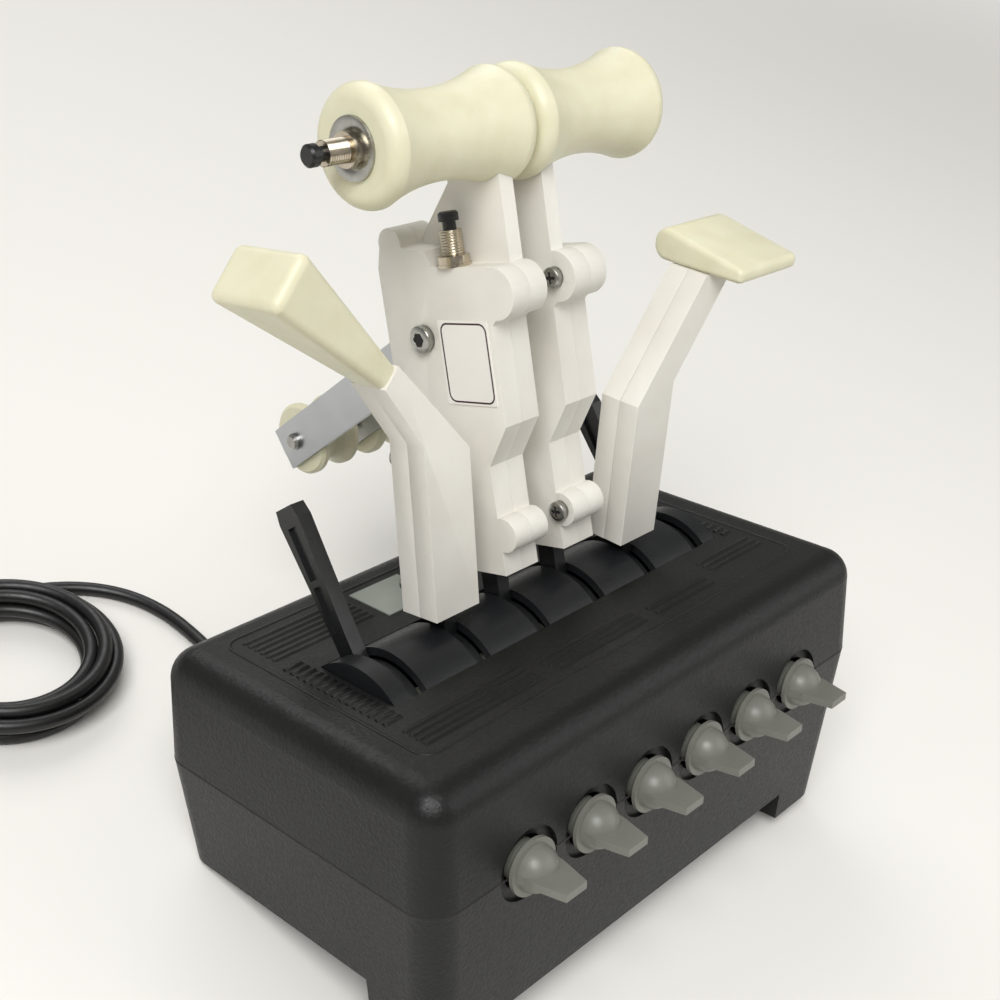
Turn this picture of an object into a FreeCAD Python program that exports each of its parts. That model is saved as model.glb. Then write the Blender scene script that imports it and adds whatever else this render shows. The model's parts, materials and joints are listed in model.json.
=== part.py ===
import FreeCAD, Part
import math
import os

import Sketcher
from FreeCAD import Placement, Rotation, Vector

# Desktop throttle quadrant: a two-part moulded case with six pivoting levers on one axle,
# six rocking paddles on a rod behind the front wall, and a USB cable.
# Case frame: X to the right, Y away from the user, Z up, Z = 0 on the case's underside.
# The case stands tilted back on its rear lower edge and on the two front legs.

SIZES = [
    # the case
    ("case_width", 198.4), ("case_depth", 113.0), ("lower_height", 35.1), ("upper_height", 34.8),
    ("case_wall", 2.5), ("case_corner", 9.5), ("case_crown", 9.0), ("lower_draft", 5.0),
    ("upper_draft", 1.6), ("upper_thickening", 2.0), ("crown_thickening", 2.5), ("leg_drop", 22.5),
    ("leg_width", 31.0), ("leg_depth", 29.0), ("skirt_drop", 12.4), ("post_radius", 4.0),
    ("post_inset", 12.0),
    # the levers' shared axle and drum
    ("lever_pitch", 25.4), ("axle_y", -1.0), ("axle_below_top", 15.7), ("axle_radius", 3.0),
    ("drum_radius", 21.4), ("drum_wall", 2.5), ("drum_margin", 9.0), ("slot_width", 5.8),
    ("slot_reach", 15.7), ("window_gap", 0.3), ("running_gap", 0.05), ("side_gap", 0.3),
    # the lever cores
    ("core_thickness", 4.6), ("hub_radius", 18.2), ("core_reach", 66.0), ("core_foot_half", 3.2),
    ("core_tip_half", 5.0), ("core_pocket_depth", 1.2),
    ("throttle_lean", 11.0), ("brake_lean", 4.5), ("flap_lean", -5.0), ("stub_lean", 33.5),
    # the white plates of the levers
    ("plate_half", 6.85), ("shell_half_width", 8.5), ("shell_foot", 26.0), ("plate_foot", 30.0),
    ("bend_height", 77.5), ("plate_half_foot", 12.0), ("plate_front", 20.0), ("plate_rear", 23.0),
    ("waist_height", 62.0), ("shelf_height", 119.5), ("upper_boss_radius", 7.3),
    ("lower_boss_radius", 5.2), ("lower_boss_height", 42.5), ("horn_radius", 4.6),
    ("neck_start", 1.7), ("neck_front", 21.5), ("core_gap", 0.1),
    # the throttle knobs
    ("knob_radius", 16.0), ("knob_waist", 12.0), ("knob_length", 53.0), ("knob_rounding", 4.0),
    ("knob_back", -14.5), ("knob_height", 155.5), ("knob_gap", 2.0), ("neck_seat", 3.0),
    # the speed brake knob and the flap knob
    ("wedge_length", 47.7), ("wedge_small", 7.4), ("wedge_small_deep", 12.4), ("wedge_big", 16.7),
    ("wedge_big_deep", 27.0), ("wedge_lean", 46.6), ("wedge_rounding", 2.5), ("flap_knob_width", 30.0),
    ("flap_knob_length", 33.0), ("flap_knob_rise", 11.0), ("flap_knob_edge", 4.5),
    ("flap_top", 109.0),
    # the reverser bars and their rollers
    ("bar_thickness", 2.0), ("bar_width", 14.0), ("bar_length", 93.6), ("bar_droop", 26.2),
    ("bar_slack", 0.15), ("pivot_back", 7.5), ("pivot_height", 99.5), ("pivot_radius", 2.0),
    ("roller_radius", 12.0), ("roller_waist", 8.5), ("roller_length", 16.2),
    # push buttons and screws
    ("bush_radius", 3.1), ("bush_stub", 2.5), ("bush_height", 10.0), ("cap_radius", 2.9),
    ("cap_height", 4.6), ("washer_radius", 4.9), ("washer_height", 0.8), ("nut_radius", 4.6),
    ("nut_height", 2.2), ("button_back", -5.3), ("big_washer_radius", 8.2),
    ("screw_radius", 1.5), ("screw_head_radius", 2.8), ("screw_head_height", 2.0),
    ("pivot_head_radius", 3.8), ("pivot_head_height", 2.2), ("plunger_radius", 1.9),
    ("button_stroke", 2.0), ("blind_depth", 2.0),
    # the paddles
    ("paddle_radius", 8.5), ("paddle_flange", 1.2), ("paddle_neck", 6.0), ("paddle_dome", 6.8),
    ("paddle_reach", 14.5), ("paddle_tip_half", 4.0), ("paddle_blade", 2.4), ("rod_radius", 1.5),
    ("rod_setback", 8.5), ("dish_radius", 11.0), ("dish_depth", 2.0), ("paddle_bore", 7.9),
    # plates, boards and the cable
    ("badge_width", 20.0), ("badge_depth", 18.0), ("badge_thickness", 0.8),
    ("label_width", 19.2), ("label_height", 24.0), ("label_thickness", 0.3),
    ("board_thickness", 1.6), ("cable_radius", 2.4), ("gland_radius", 4.2),
    ("gland_length", 12.0), ("coil_radius", 31.0), ("coil_thickness", 7.5), ("plug_width", 12.0),
    ("plug_height", 4.5), ("plug_grip", 27.0), ("plug_grip_half", 4.0), ("plug_shell", 19.0),
    ("origin_shift_x", 0.0), ("origin_shift_y", -33.84),
]


class Size:
    """A length or angle: its value now, and the expression on the sheet that gives it."""

    def __init__(self, text, value):
        self.text = text
        self.value = value

    def __float__(self):
        return self.value

    def __add__(self, other):
        return combined(self, "+", other)

    def __radd__(self, other):
        return combined(other, "+", self)

    def __sub__(self, other):
        return combined(self, "-", other)

    def __rsub__(self, other):
        return combined(other, "-", self)

    def __mul__(self, other):
        return combined(self, "*", other)

    def __rmul__(self, other):
        return combined(other, "*", self)

    def __truediv__(self, other):
        return combined(self, "/", other)

    def __neg__(self):
        return combined(0.0, "-", self)


def as_size(number):
    """Return number as a Size, so that plain numbers and sheet values mix freely."""
    if isinstance(number, Size):
        return number
    return Size(repr(float(number)), float(number))


def combined(left, sign, right):
    """Return the Size of one sum, difference, product or quotient."""
    left = as_size(left)
    right = as_size(right)
    if sign == "+":
        value = left.value + right.value
    elif sign == "-":
        value = left.value - right.value
    elif sign == "*":
        value = left.value * right.value
    else:
        value = left.value / right.value
    return Size("(%s %s %s)" % (left.text, sign, right.text), value)


class SizeTable:
    """The sheet's values, each an attribute named by its alias."""

    def __init__(self, document):
        sheet = document.addObject("Spreadsheet::Sheet", "sizes")
        for row, (alias, number) in enumerate(SIZES, 1):
            sheet.set("A%d" % row, alias)
            sheet.set("B%d" % row, str(number))
            sheet.setAlias("B%d" % row, alias)
        document.recompute()
        for alias, number in SIZES:
            setattr(self, alias, Size("sizes." + alias, float(sheet.get(alias))))


doc = FreeCAD.newDocument("throttle_quadrant")
s = SizeTable(doc)
nodes = []

SEAM = s.lower_height
CASE_TOP = SEAM + s.upper_height
AXLE_Z = CASE_TOP - s.axle_below_top
FRONT_FACE = -s.case_depth / 2
ROD_Y = FRONT_FACE + s.rod_setback
LEVER_PLACES = [(number - 2.5) * s.lever_pitch for number in range(6)]
DRUM_HALF = 2.5 * s.lever_pitch + s.drum_margin
CORE_HALF = s.core_thickness / 2
SCREW_SEAT = s.screw_head_height + 0.5
GLAND_X = -0.2 * s.case_width
GLAND_Z = SEAM / 2


DRAFT_SLOPE = Size("tan(sizes.lower_draft * 1 deg)", math.tan(math.radians(float(s.lower_draft))))


def inset(height):
    """Return how far the lower case's wall has drawn in at a height below the seam."""
    return float(height) * float(DRAFT_SLOPE)


REAR_EDGE_Y = float(s.case_depth) / 2 - inset(SEAM)
LEG_BACK_Y = float(FRONT_FACE + s.leg_depth)
STANCE_TILT = math.degrees(math.atan2(float(s.leg_drop), REAR_EDGE_Y - LEG_BACK_Y))
STANCE_TURN = Rotation(Vector(1, 0, 0), -STANCE_TILT)
STANCE_LIFT = -STANCE_TURN.multVec(Vector(0, REAR_EDGE_Y, 0)).z
STANCE = Placement(Vector(float(s.origin_shift_x), float(s.origin_shift_y), STANCE_LIFT), STANCE_TURN)


def lever_frame(number, lean):
    """Return a lever's placement on the axle, leaning away from the user by lean degrees."""
    place = Vector(float(LEVER_PLACES[number]), float(s.axle_y), float(AXLE_Z))
    return Placement(place, Rotation(Vector(1, 0, 0), -float(lean)))


def moved(x, y, z):
    """Return a plain shift."""
    return Placement(Vector(float(x), float(y), float(z)), Rotation())


def turned_to(direction, x=0, y=0, z=0):
    """Return the placement that takes a piece made along +Z to a direction, at a point."""
    return Placement(Vector(float(x), float(y), float(z)), Rotation(Vector(0, 0, 1), direction))


# ---------------------------------------------------------------- sketch and feature helpers

def new_body(label):
    """Return an empty PartDesign body with a label."""
    body = doc.addObject("PartDesign::Body", label)
    body.Label = label
    return body


def new_sketch(body, plane, level):
    """Return a sketch on one of the body's origin planes, moved along its normal."""
    sketch = body.newObject("Sketcher::SketchObject", body.Name + "_sketch")
    support = [item for item in body.Origin.OriginFeatures if item.Role == plane + "_Plane"]
    sketch.AttachmentSupport = (support[0], [""])
    sketch.MapMode = "FlatFace"
    sketch.setExpression("AttachmentOffset.Base.z", as_size(level).text)
    return sketch


def fix(sketch, kind, first, second, number):
    """Set one distance from the sketch's origin, bound to the sheet."""
    number = as_size(number)
    index = sketch.addConstraint(Sketcher.Constraint(kind, -1, 1, first, second, number.value))
    sketch.setExpression("Constraints[%d]" % index, number.text)


def draw_corners(sketch, corners):
    """Draw a closed outline through corners, each fixed by two distances."""
    first = sketch.GeometryCount
    points = [Vector(float(u), float(v), 0) for u, v in corners]
    count = len(points)
    for index in range(count):
        sketch.addGeometry(Part.LineSegment(points[index], points[(index + 1) % count]), False)
    for index in range(count):
        following = first + (index + 1) % count
        sketch.addConstraint(Sketcher.Constraint("Coincident", first + index, 2, following, 1))
    for index, (u, v) in enumerate(corners):
        fix(sketch, "DistanceX", first + index, 1, u)
        fix(sketch, "DistanceY", first + index, 1, v)


class Disc:
    """A circle in a sketch."""

    def __init__(self, u, v, radius):
        self.u = as_size(u)
        self.v = as_size(v)
        self.radius = as_size(radius)

    def draw(self, sketch):
        centre = Vector(self.u.value, self.v.value, 0)
        index = sketch.addGeometry(Part.Circle(centre, Vector(0, 0, 1), self.radius.value), False)
        fix(sketch, "DistanceX", index, 3, self.u)
        fix(sketch, "DistanceY", index, 3, self.v)
        constraint = sketch.addConstraint(Sketcher.Constraint("Radius", index, self.radius.value))
        sketch.setExpression("Constraints[%d]" % constraint, self.radius.text)


def rectangle(u_low, u_high, v_low, v_high):
    """Return the four corners of a rectangle."""
    return [(u_low, v_low), (u_high, v_low), (u_high, v_high), (u_low, v_high)]


def draw(sketch, loops):
    """Draw discs and outlines into a sketch."""
    for loop in loops:
        if isinstance(loop, Disc):
            loop.draw(sketch)
        else:
            draw_corners(sketch, loop)


def add(body, plane, low, high, loops, taper=None):
    """Add a prism that fills low to high along the axis across the plane."""
    level = -as_size(high) if plane == "XZ" else low
    sketch = new_sketch(body, plane, level)
    draw(sketch, loops)
    feature = body.newObject("PartDesign::Pad", body.Name + "_pad")
    feature.Profile = sketch
    feature.setExpression("Length", (as_size(high) - low).text)
    if taper is not None:
        feature.setExpression("TaperAngle", as_size(taper).text)
    return feature


def cut(body, plane, low, high, loops, taper=None):
    """Cut a prism that takes low to high along the axis across the plane."""
    level = -as_size(low) if plane == "XZ" else high
    sketch = new_sketch(body, plane, level)
    draw(sketch, loops)
    feature = body.newObject("PartDesign::Pocket", body.Name + "_pocket")
    feature.Profile = sketch
    feature.setExpression("Length", (as_size(high) - low).text)
    if taper is not None:
        feature.setExpression("TaperAngle", as_size(taper).text)
    return feature


def spun(body, kind, corners, axis="V_Axis"):
    """Add (Revolution) or cut (Groove) a full turn of an outline on the XZ plane."""
    sketch = new_sketch(body, "XZ", 0)
    draw(sketch, corners)
    feature = body.newObject("PartDesign::" + kind, body.Name + "_turn")
    feature.Profile = sketch
    feature.ReferenceAxis = (sketch, [axis])
    feature.Angle = 360.0
    return feature


def turned(label, profile):
    """Return a body turned about Z from corners given as radius and height."""
    body = new_body(label)
    spun(body, "Revolution", [profile])
    return body


def repeated(body, feature, axis, count, step):
    """Repeat a feature along one of its sketch's axes."""
    pattern = body.newObject("PartDesign::LinearPattern", body.Name + "_row")
    pattern.Originals = [feature]
    pattern.Direction = (feature.Profile[0], [axis])
    pattern.Occurrences = count
    pattern.setExpression("Length", (as_size(step) * (count - 1)).text)
    body.Tip = pattern
    return pattern


def rounded(body, radius, wanted):
    """Round the edges of the body's last feature that a test picks."""
    doc.recompute()
    base = body.Tip
    names = []
    for number, edge in enumerate(base.Shape.Edges, 1):
        if wanted(edge):
            names.append("Edge%d" % number)
    feature = body.newObject("PartDesign::Fillet", body.Name + "_fillet")
    feature.Base = (base, names)
    feature.setExpression("Radius", as_size(radius).text)
    return feature


def runs_along(edge, axis):
    """Tell whether an edge is straight and lies along a direction."""
    if not isinstance(edge.Curve, Part.Line):
        return False
    return abs(edge.Curve.Direction.dot(axis)) > 0.98


def finish(item, frame=None):
    """Seat a finished sub-part in the standing case's frame and keep it for export."""
    item.Placement = STANCE.multiply(frame if frame is not None else Placement())
    nodes.append(item)


def copies(label, source, frames):
    """Keep one node made of separate copies of a source shape."""
    doc.recompute()
    group = doc.addObject("Part::Feature", label)
    group.Label = label
    shapes = []
    for frame in frames:
        shape = source.Shape.copy()
        shape.Placement = frame.multiply(shape.Placement)
        shapes.append(shape)
    group.Shape = Part.makeCompound(shapes)
    return group


def joined(label, shapes):
    """Return a node that holds several loose solids."""
    group = doc.addObject("Part::Feature", label)
    group.Label = label
    group.Shape = Part.makeCompound(shapes)
    return group


# ---------------------------------------------------------------- the case

X_AXIS = Vector(1, 0, 0)
Y_AXIS = Vector(0, 1, 0)


def upright(edge):
    """Tell whether an edge rises, allowing for the walls' draft."""
    chord = edge.Vertexes[-1].Point - edge.Vertexes[0].Point
    return chord.Length > 1 and abs(chord.z) > 0.9 * chord.Length


def case_rectangle(margin):
    """Return the case's outline at the seam, drawn in by a margin."""
    half_width = s.case_width / 2 - margin
    half_depth = s.case_depth / 2 - margin
    return rectangle(-half_width, half_width, -half_depth, half_depth)


def post_places():
    """Return where the four screw posts stand."""
    across = s.case_width / 2 - s.post_inset
    along = s.case_depth / 2 - s.post_inset
    return [(-across, -along), (across, -along), (-across, along), (across, along)]


def paddle_dishes(body):
    """Cut the round dishes and wall bores of the six paddles."""
    floor = FRONT_FACE + s.dish_depth
    dish = cut(body, "XZ", FRONT_FACE - 1, floor, [Disc(LEVER_PLACES[0], SEAM, s.dish_radius)])
    repeated(body, dish, "H_Axis", 6, s.lever_pitch)
    inner = FRONT_FACE + 2.5 * s.case_wall + s.dish_depth
    bore = cut(body, "XZ", FRONT_FACE - 1, inner, [Disc(LEVER_PLACES[0], SEAM, s.paddle_bore)])
    repeated(body, bore, "H_Axis", 6, s.lever_pitch)


def build_lower_case():
    """Lower case: a drafted tray whose front drops into a skirt and two corner legs."""
    body = new_body("lower_case")
    sketch = new_sketch(body, "XY", SEAM)
    draw(sketch, [case_rectangle(0)])
    block = body.newObject("PartDesign::Pad", "lower_case_block")
    block.Profile = sketch
    block.Reversed = True
    block.setExpression("Length", (SEAM + s.leg_drop).text)
    block.setExpression("TaperAngle", (-s.lower_draft).text)
    rounded(body, s.case_corner, upright)
    half = s.case_width
    cut(body, "XY", -s.leg_drop - 1, 0, [rectangle(-half, half, FRONT_FACE + s.leg_depth, half)])
    notch = s.case_width / 2 - s.leg_width
    back = FRONT_FACE + s.leg_depth
    cut(body, "XY", -s.leg_drop - 1, -s.skirt_drop, [rectangle(-notch, notch, -half, back + 1)])
    inside = s.case_wall + (SEAM - s.case_wall) * DRAFT_SLOPE
    cut(body, "XY", s.case_wall, SEAM, [case_rectangle(inside)])
    well = s.case_width / 2 - 2 * s.case_wall - s.case_corner
    well_front = FRONT_FACE + 2.6 * s.case_wall
    well_back = back - s.case_wall
    floor = s.case_wall - s.skirt_drop
    cut(body, "XY", floor, s.case_wall + 1, [rectangle(-well, well, well_front, well_back)])
    for x, y in post_places():
        add(body, "XY", s.case_wall / 2, SEAM, [Disc(x, y, s.post_radius)])
    rib_half = s.case_wall * 0.4
    rib_place = -3 * s.lever_pitch
    rib_front = FRONT_FACE + inside - 0.5
    rib = [rectangle(rib_front, ROD_Y + 2 * s.rod_radius, floor, SEAM)]
    eye = [Disc(ROD_Y, SEAM, 2 * s.rod_radius)]
    for profile in (rib, eye):
        first = add(body, "YZ", rib_place - rib_half, rib_place + rib_half, profile)
        repeated(body, first, "N_Axis", 7, s.lever_pitch)
    reach = 3 * s.lever_pitch + s.case_wall
    cut(body, "YZ", -reach, reach, [Disc(ROD_Y, SEAM, s.rod_radius)])
    paddle_dishes(body)
    for x, y in post_places():
        bore = Disc(x, y, s.screw_radius)
        seat = Disc(x, y, s.screw_head_radius + s.side_gap)
        cut(body, "XY", -s.leg_drop - 1, SEAM + 1, [bore])
        cut(body, "XY", -s.leg_drop - 1, SCREW_SEAT, [seat])
    rear = s.case_depth / 2
    cut(body, "XZ", rear - 4 * s.case_wall, rear + 1, [Disc(GLAND_X, GLAND_Z, s.gland_radius)])
    finish(body)
    return body


def build_upper_case():
    """Upper case: a crowned lid with the drum window and the upper halves of the dishes."""
    body = new_body("upper_case")
    add(body, "XY", SEAM, CASE_TOP, [case_rectangle(0)], -s.upper_draft)
    rounded(body, s.case_corner, upright)
    top = float(CASE_TOP)
    rounded(body, s.case_crown, lambda edge: edge.BoundBox.ZMin > top - 0.01)
    inside = s.case_wall + s.upper_thickening
    cut(body, "XY", SEAM - 1, CASE_TOP - s.case_crown, [case_rectangle(inside)])
    under_crown = case_rectangle(inside + s.crown_thickening)
    cut(body, "XY", SEAM, CASE_TOP - s.case_wall, [under_crown])
    across = DRUM_HALF + s.window_gap
    cut(body, "YZ", -across, across, [Disc(s.axle_y, AXLE_Z, s.drum_radius + s.window_gap)])
    for x, y in post_places():
        add(body, "XY", SEAM, CASE_TOP - s.case_wall / 2, [Disc(x, y, s.post_radius)])
        cut(body, "XY", SEAM - 1, SEAM + 4 * s.screw_radius, [Disc(x, y, s.screw_radius)])
    paddle_dishes(body)
    badge = rectangle(*badge_edges())
    cut(body, "XY", CASE_TOP - s.badge_thickness / 2, CASE_TOP + 1, [badge])
    finish(body)
    return body


def badge_edges():
    """Return the badge plate's edges, behind the drum and left of the middle."""
    left = -1.5 * s.lever_pitch - 1.0
    front = s.axle_y + s.drum_radius + 1.5
    return left, left + s.badge_width, front, front + s.badge_depth


def build_badge():
    """Badge plate: a thin bare plate let into the top."""
    body = new_body("badge_plate")
    low = CASE_TOP - s.badge_thickness / 2
    add(body, "XY", low, low + s.badge_thickness, [rectangle(*badge_edges())])
    finish(body)


POT_START = CORE_HALF + s.side_gap
POT_LENGTH = as_size(6.0)
POT_RADIUS = as_size(8.0)


def build_drum():
    """Drum cover: a half round hood with a slot for each lever, ribbed between them."""
    body = new_body("drum_cover")
    joints = [-DRUM_HALF] + [s.lever_pitch * (number - 2) for number in range(5)] + [DRUM_HALF]
    for low, high in zip(joints, joints[1:]):
        add(body, "YZ", low, high, [Disc(s.axle_y, AXLE_Z, s.drum_radius)])
    inner = s.drum_radius - s.drum_wall
    ends = DRUM_HALF - s.drum_wall
    rib_half = s.drum_wall / 5
    for number in range(6):
        low = LEVER_PLACES[number] - s.lever_pitch / 2 + rib_half if number > 0 else -ends
        high = LEVER_PLACES[number] + s.lever_pitch / 2 - rib_half if number < 5 else ends
        cut(body, "YZ", low, high, [Disc(s.axle_y, AXLE_Z, inner)])
    wide = 2 * s.drum_radius
    hood_foot = AXLE_Z + s.axle_radius + 1
    below = rectangle(s.axle_y - wide, s.axle_y + wide, AXLE_Z - wide, hood_foot)
    cut(body, "YZ", -DRUM_HALF - 1, DRUM_HALF + 1, [below])
    cut(body, "YZ", -DRUM_HALF - 1, DRUM_HALF + 1, [Disc(s.axle_y, AXLE_Z, POT_RADIUS + s.side_gap)])
    half = s.slot_width / 2
    slot = rectangle(LEVER_PLACES[0] - half, LEVER_PLACES[0] + half,
                     s.axle_y - s.slot_reach, s.axle_y + s.slot_reach)
    first = cut(body, "XY", AXLE_Z, AXLE_Z + wide, [slot])
    repeated(body, first, "H_Axis", 6, s.lever_pitch)
    for feature in body.Group:
        if hasattr(feature, "Refine"):
            feature.Refine = False
    finish(body)


# ---------------------------------------------------------------- what the case holds

FRAME_END = DRUM_HALF + 3.0
FRAME_WALL = s.case_wall + 0.5


def build_axle():
    """Axle: one steel rod through all six levers."""
    axle = doc.addObject("Part::Cylinder", "lever_axle")
    axle.Label = "lever_axle"
    axle.setExpression("Radius", s.axle_radius.text)
    axle.setExpression("Height", (2 * FRAME_END + 2 * FRAME_WALL).text)
    finish(axle, turned_to(X_AXIS, -FRAME_END - FRAME_WALL, s.axle_y, AXLE_Z))


def build_frame():
    """Mechanism frame: a floor bar with an upright at each end that holds the axle."""
    body = new_body("mechanism_frame")
    bar_top = s.case_wall + FRAME_WALL
    half_bar = s.drum_radius * 0.5
    edge = FRAME_END + FRAME_WALL
    bar = rectangle(s.axle_y - half_bar, s.axle_y + half_bar, s.case_wall, bar_top)
    add(body, "YZ", -edge, edge, [bar])
    upright_half = s.axle_radius * 2
    profile = rectangle(s.axle_y - upright_half, s.axle_y + upright_half, s.case_wall, AXLE_Z)
    for low in (-edge, FRAME_END):
        add(body, "YZ", low, low + FRAME_WALL, [profile])
        add(body, "YZ", low, low + FRAME_WALL, [Disc(s.axle_y, AXLE_Z, upright_half)])
    cut(body, "YZ", -edge - 1, edge + 1, [Disc(s.axle_y, AXLE_Z, s.axle_radius)])
    finish(body)


def build_sensors():
    """Potentiometers: a ring beside each hub, each on a foot that stands on the frame."""
    body = new_body("potentiometers")
    start = LEVER_PLACES[0] + POT_START
    ring = [Disc(s.axle_y, AXLE_Z, POT_RADIUS), Disc(s.axle_y, AXLE_Z, s.axle_radius)]
    foot_half = POT_RADIUS * 0.6
    foot_low = s.case_wall + FRAME_WALL
    foot_high = AXLE_Z - s.axle_radius - 1
    foot = rectangle(s.axle_y - foot_half, s.axle_y + foot_half, foot_low, foot_high)
    add(body, "YZ", start, start + POT_LENGTH, ring)
    add(body, "YZ", start, start + POT_LENGTH, [foot])
    frames = [moved(s.lever_pitch * number, 0, 0) for number in range(6)]
    finish(copies("potentiometer_row", body, frames))


def build_sleeves():
    """Spacer sleeves: tubes on the axle that keep the hubs apart."""
    start = LEVER_PLACES[0] + POT_START + POT_LENGTH
    length = s.lever_pitch - POT_LENGTH - POT_START - CORE_HALF - s.side_gap
    body = new_body("sleeve")
    tube = [Disc(s.axle_y, AXLE_Z, s.axle_radius + 1.5), Disc(s.axle_y, AXLE_Z, s.axle_radius)]
    add(body, "YZ", start, start + length, tube)
    frames = [moved(s.lever_pitch * number, 0, 0) for number in range(5)]
    finish(copies("spacer_sleeves", body, frames))
    ends = new_body("end_sleeves")
    left_end = LEVER_PLACES[0] - CORE_HALF - s.side_gap
    add(ends, "YZ", -FRAME_END, left_end, tube)
    finish(ends)


def build_boards():
    """Circuit boards: one lies on the floor behind the frame, one stands behind the rod."""
    body = new_body("main_board")
    low = s.case_wall + 3.0
    back = s.case_depth / 2 - 5 * s.case_wall
    front = s.axle_y + s.drum_radius * 0.5 + 4.0
    half = s.case_width * 0.3
    add(body, "XY", low, low + s.board_thickness, [rectangle(-half, half, front, back)])
    for x in (-half + 5, half - 5):
        for y in (front + 5, back - 5):
            add(body, "XY", s.case_wall, low, [Disc(x, y, 2.5)])
    add(body, "XY", low + s.board_thickness, low + s.board_thickness + 6,
        [rectangle(-half + 8, -half + 22, back - 14, back - 5)])
    add(body, "XY", low + s.board_thickness, low + s.board_thickness + 2,
        [rectangle(-7, 7, front + 6, front + 20)])
    finish(body)
    board = new_body("switch_board")
    board_back = ROD_Y + 4 * s.rod_radius + 6.0
    board_front = board_back - s.board_thickness
    reach = 2.5 * s.lever_pitch + 10
    face = rectangle(-reach, reach, s.case_wall - s.skirt_drop, SEAM + 8)
    add(board, "XZ", board_front, board_back, [face])
    finish(board)
    switch = new_body("switch")
    block = rectangle(LEVER_PLACES[0] - 5, LEVER_PLACES[0] + 5, SEAM - 6, SEAM + 6)
    add(switch, "XZ", board_front - 4, board_front, [block])
    frames = [moved(s.lever_pitch * number, 0, 0) for number in range(6)]
    finish(copies("paddle_switches", switch, frames))


def build_rod():
    """Paddle rod: the steel rod on which the six paddles rock."""
    rod = doc.addObject("Part::Cylinder", "paddle_rod")
    rod.Label = "paddle_rod"
    length = 6 * s.lever_pitch + s.case_wall
    rod.setExpression("Radius", s.rod_radius.text)
    rod.setExpression("Height", length.text)
    finish(rod, turned_to(X_AXIS, -length / 2, ROD_Y, SEAM))


def build_case_screws():
    """Case screws: four pan heads from below, one in each post."""
    length = SEAM + 4 * s.screw_radius - SCREW_SEAT
    head = s.screw_head_radius
    profile = [(0, -s.screw_head_height), (head, -s.screw_head_height), (head, 0),
               (s.screw_radius, 0), (s.screw_radius, length), (0, length)]
    screw = turned("case_screw", profile)
    frames = []
    for x, y in post_places():
        frames.append(moved(x, y, SCREW_SEAT))
    finish(copies("case_screws", screw, frames))


# ---------------------------------------------------------------- the cable

CABLE_ROUTE = [(-39.2, 97.5, 4.6), (-38.5, 112.0, 2.4), (-37.8, 128.0, 2.4), (-39.2, 144.0, 2.4),
               (-45.0, 158.5, 2.4), (-56.0, 169.5, 2.4), (-70.5, 175.6, 2.6), (-85.0, 177.3, 3.4),
               (-98.0, 176.6, 4.8)]
TAIL_ROUTE = [(-130.6, 148.0, 6.0), (-132.0, 130.0, 4.4), (-137.5, 112.5, 3.0),
              (-149.5, 98.0, 2.8), (-167.0, 90.5, 4.0)]
COIL_CENTRE = (-100.0, 146.0)
GROUND = moved(s.origin_shift_x, s.origin_shift_y, 0)


def tube_along(points, radius):
    """Return a tube of straight runs joined by tangent arcs, and print the arcs' radii."""
    points = [Vector(*point) for point in points]
    edges = []
    bends = []
    start = points[0]
    for before, corner, after in zip(points, points[1:], points[2:]):
        to_corner = (corner - before).normalize()
        from_corner = (after - corner).normalize()
        turn = to_corner.getAngle(from_corner)
        reach = 0.45 * min((corner - before).Length, (after - corner).Length)
        bend = reach / math.tan(turn / 2)
        first = corner - to_corner * reach
        last = corner + from_corner * reach
        inward = (from_corner - to_corner).normalize()
        middle = corner + inward * (bend / math.cos(turn / 2) - bend)
        edges.append(Part.LineSegment(start, first).toShape())
        edges.append(Part.Arc(first, middle, last).toShape())
        bends.append(round(bend))
        start = last
    edges.append(Part.LineSegment(start, points[-1]).toShape())
    path = Part.Wire(edges)
    heading = (points[1] - points[0]).normalize()
    section = Part.Wire([Part.Circle(points[0], heading, radius).toShape()])
    tube = path.makePipeShell([section], True, True)
    print("cable bends", bends, "length %.0f" % path.Length, "volume ratio %.3f" %
          (tube.Volume / (math.pi * radius ** 2 * path.Length)))
    return tube


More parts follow.
